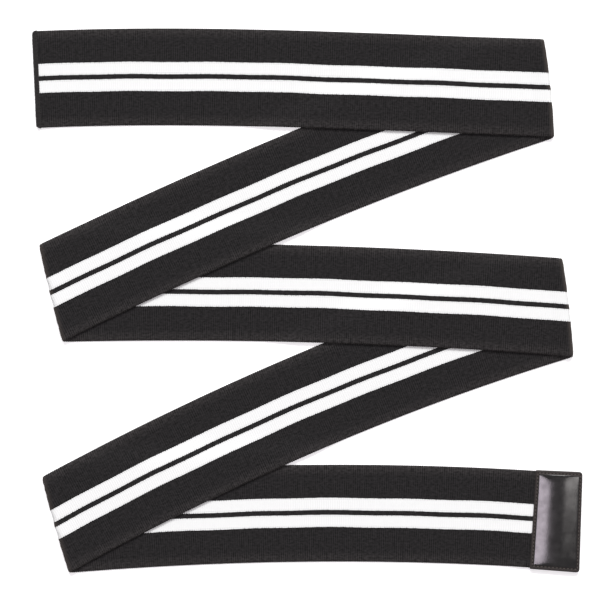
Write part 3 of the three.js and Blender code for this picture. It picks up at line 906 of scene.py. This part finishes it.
# The turned edge is the same leather, creased and rubbed dull by the sewing foot.  Along the sunk line its
# colour is painted darker: painted shade in the groove and in the needle's holes there.
CREASE = 0.8 * MM
CREASE_DEPTH = 0.15 * MM
GROOVE_LEVELS = np.array([0.78, 0.95, 1.05, 1.22])
GROOVE_SHADE = np.array([0, 1, 1, 0])
leather_edge = new_material("dull_pu_leather_edge")
tree = leather_edge.node_tree
spot = add(tree, "ShaderNodeTexCoord", {}).outputs["Object"]
creases = add(tree, "ShaderNodeTexNoise", {"Vector": spot, "Scale": 1 / CREASE, "Detail": 3.0})
edge_colour = add(tree, "ShaderNodeValToRGB", {"Fac": creases.outputs["Fac"]})
edge_colour.color_ramp.elements[0].color = linear("#1e1a1a")
edge_colour.color_ramp.elements[1].color = linear("#342f2d")
groove = add(tree, "ShaderNodeAttribute", {}, attribute_name="groove").outputs["Fac"]
sunk_shade_colour = add(
    tree,
    "ShaderNodeMix",
    {MIX_SHARE: groove, MIX_FROM: edge_colour.outputs["Color"], MIX_TO: linear("#0b0909")},
    data_type="RGBA",
)
crease_relief = add(
    tree, "ShaderNodeBump", {"Height": creases.outputs["Fac"], "Strength": 0.4, "Distance": CREASE_DEPTH}
)
shader = add(
    tree,
    "ShaderNodeBsdfPrincipled",
    {
        "Base Color": sunk_shade_colour.outputs[MIXED],
        "Roughness": 0.6,
        "Specular IOR Level": 0.2,
        "Normal": crease_relief.outputs["Normal"],
    },
)
add(tree, "ShaderNodeOutputMaterial", {"Surface": shader.outputs["BSDF"]})

tab = new_piece(
    "leather_end_tab",
    at_end(PLACES[-1], HEADINGS_IN[-1], tab_points),
    tab_faces.tolist(),
    [pu_leather, leather_edge],
)
quad_share = rim_share.ravel()[top_quads].mean(axis=1)
edge_faces = np.ones(len(tab_faces), np.int32)
edge_faces[: len(top_quads)] = quad_share < PANEL_FROM
tab.data.polygons.foreach_set("material_index", edge_faces)
# Painted shade along the sunk line, by how far in each top point lies.
tab_groove_shade = np.zeros(len(tab_points))
tab_groove_shade[: rim_share.size] = np.interp(rim_share, GROOVE_LEVELS, GROOVE_SHADE).ravel()
tab.data.attributes.new("groove", "FLOAT", "POINT").data.foreach_set("value", tab_groove_shade)
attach(tab, "root")
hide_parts("end_tab")

# The tab's stitches: lockstitch in black thread, lying in the sunk line on all four sides, each stitch
# turned a little from the line as the thread's twist pulls it, and pulled down into its holes at the ends.
STITCH_PITCH = 2.85 * MM
STITCH_LENGTH = 1.75 * MM
STITCH_RADIUS = 0.45 * MM
STITCH_TURN = np.radians(8)
groove_corners = np.array(
    [
        (RIM_OPEN, RIM_LOWER),
        (TAB_LENGTH - RIM_CLOSED, RIM_LOWER),
        (TAB_LENGTH - RIM_CLOSED, TAB_WIDTH - RIM_UPPER),
        (RIM_OPEN, TAB_WIDTH - RIM_UPPER),
    ]
)
stitch_middles, stitch_along = [], []
for start, end in zip(groove_corners, np.roll(groove_corners, -1, axis=0)):
    count = round(np.linalg.norm(end - start) / STITCH_PITCH)
    shares = (np.arange(count) + 0.5)[:, None] / count
    middles = start + (end - start) * shares
    heading = np.arctan2(end[1] - start[1], end[0] - start[0]) + STITCH_TURN
    stitch_middles.append(np.column_stack(tab_plan(middles[:, 0], middles[:, 1])))
    stitch_along.append(np.broadcast_to(direction(heading), (count, 2)))
groove_height = np.interp(1, RIM_LEVELS, RIM_HEIGHTS)
stitch_middles = np.insert(np.vstack(stitch_middles), 2, groove_height + STITCH_RADIUS / 2, axis=1)
stitch_along = np.insert(np.vstack(stitch_along), 2, 0, axis=1)
tab_stitch_paths = stitch_paths(stitch_middles, stitch_along, STITCH_LENGTH)
stitch_points = thread_points(tab_stitch_paths, upward, stitch_radius(STITCH_RADIUS))

# Spun polyester sewing thread: smooth, hard and a worn black, so it stands out a little from its holes.
sewing_thread = new_material("spun_polyester_thread")
tree = sewing_thread.node_tree
shader = add(
    tree,
    "ShaderNodeBsdfPrincipled",
    {"Base Color": linear("#46403d"), "Roughness": 0.6, "Specular IOR Level": 0.2},
)
add(tree, "ShaderNodeOutputMaterial", {"Surface": shader.outputs["BSDF"]})

stitches = new_piece(
    "tab_stitches",
    at_end(PLACES[-1], HEADINGS_IN[-1], stitch_points.reshape(-1, 3)),
    thread_faces(len(stitch_middles), STITCH_STEPS),
    [sewing_thread],
)
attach(stitches, "root")


# The studio: a white table top lit by one large soft box behind it and an even pale surround, with two
# small soft boxes overhead for the leather's highlights.  The camera looks straight down.
FLOOR_HALF = 6.0
VIEW_WIDTH = 0.4733
VIEW_CENTRE = (-0.0055, 0.0004)
CAMERA_HEIGHT = 3.0
CAMERA_REACH = 100.0
SENSOR = 36.0
SURROUND_STRENGTH = 0.45

floor_points = np.array([(-1, -1, 0), (1, -1, 0), (1, 1, 0), (-1, 1, 0)]) * FLOOR_HALF

# White acrylic, lit a little from beneath as a light table is: matt, and pure white up to the cloth's edge.
white_table = new_material("white_acrylic_table")
tree = white_table.node_tree
shader = add(
    tree,
    "ShaderNodeBsdfPrincipled",
    {
        "Base Color": linear("#f7f7f7"),
        "Roughness": 0.8,
        "Specular IOR Level": 0.1,
        "Emission Color": linear("#ffffff"),
        "Emission Strength": 0.25,
    },
)
add(tree, "ShaderNodeOutputMaterial", {"Surface": shader.outputs["BSDF"]})
floor = new_piece("floor", floor_points, [[0, 1, 2, 3]], [white_table])

studio = bpy.data.worlds.new("studio")
studio.use_nodes = True
surround = studio.node_tree.nodes["Background"]
surround.inputs["Color"].default_value = linear("#ffffff")
surround.inputs["Strength"].default_value = SURROUND_STRENGTH
bpy.context.scene.world = studio


def soft_box(name, place, turn, size, power, colour):
    """A rectangular area light at a place, turned by degrees about X, Y and Z from facing straight down."""
    light = bpy.data.lights.new(name, "AREA")
    light.shape = "RECTANGLE"
    light.size, light.size_y = size
    light.energy = power
    light.color = linear(colour)[:3]
    box = bpy.data.objects.new(name, light)
    box.location = place
    box.rotation_euler = np.radians(turn)
    box.visible_camera = False
    bpy.context.collection.objects.link(box)


BACK_TILT = (-51.3, 0, 0)
LEVEL = (0, 0, 0)
soft_box("soft_box_back", (0, 8.0, 6.4), BACK_TILT, size=(8.0, 4.0), power=1450, colour="#ffffff")
soft_box("soft_box_left", (-0.075, -0.38, 2.2), LEVEL, size=(0.39, 0.93), power=12.0, colour="#fdf0fd")
soft_box("soft_box_right", (0.70, 0.03, 2.2), LEVEL, size=(0.36, 0.64), power=3.75, colour="#fffaf8")

lens = bpy.data.cameras.new("camera")
lens.sensor_width = SENSOR
lens.lens = SENSOR * CAMERA_HEIGHT / VIEW_WIDTH
lens.clip_end = CAMERA_REACH
camera = bpy.data.objects.new("camera", lens)
camera.location = (*VIEW_CENTRE, CAMERA_HEIGHT)
bpy.context.collection.objects.link(camera)
bpy.context.scene.camera = camera
bpy.context.scene.view_settings.view_transform = "Standard"
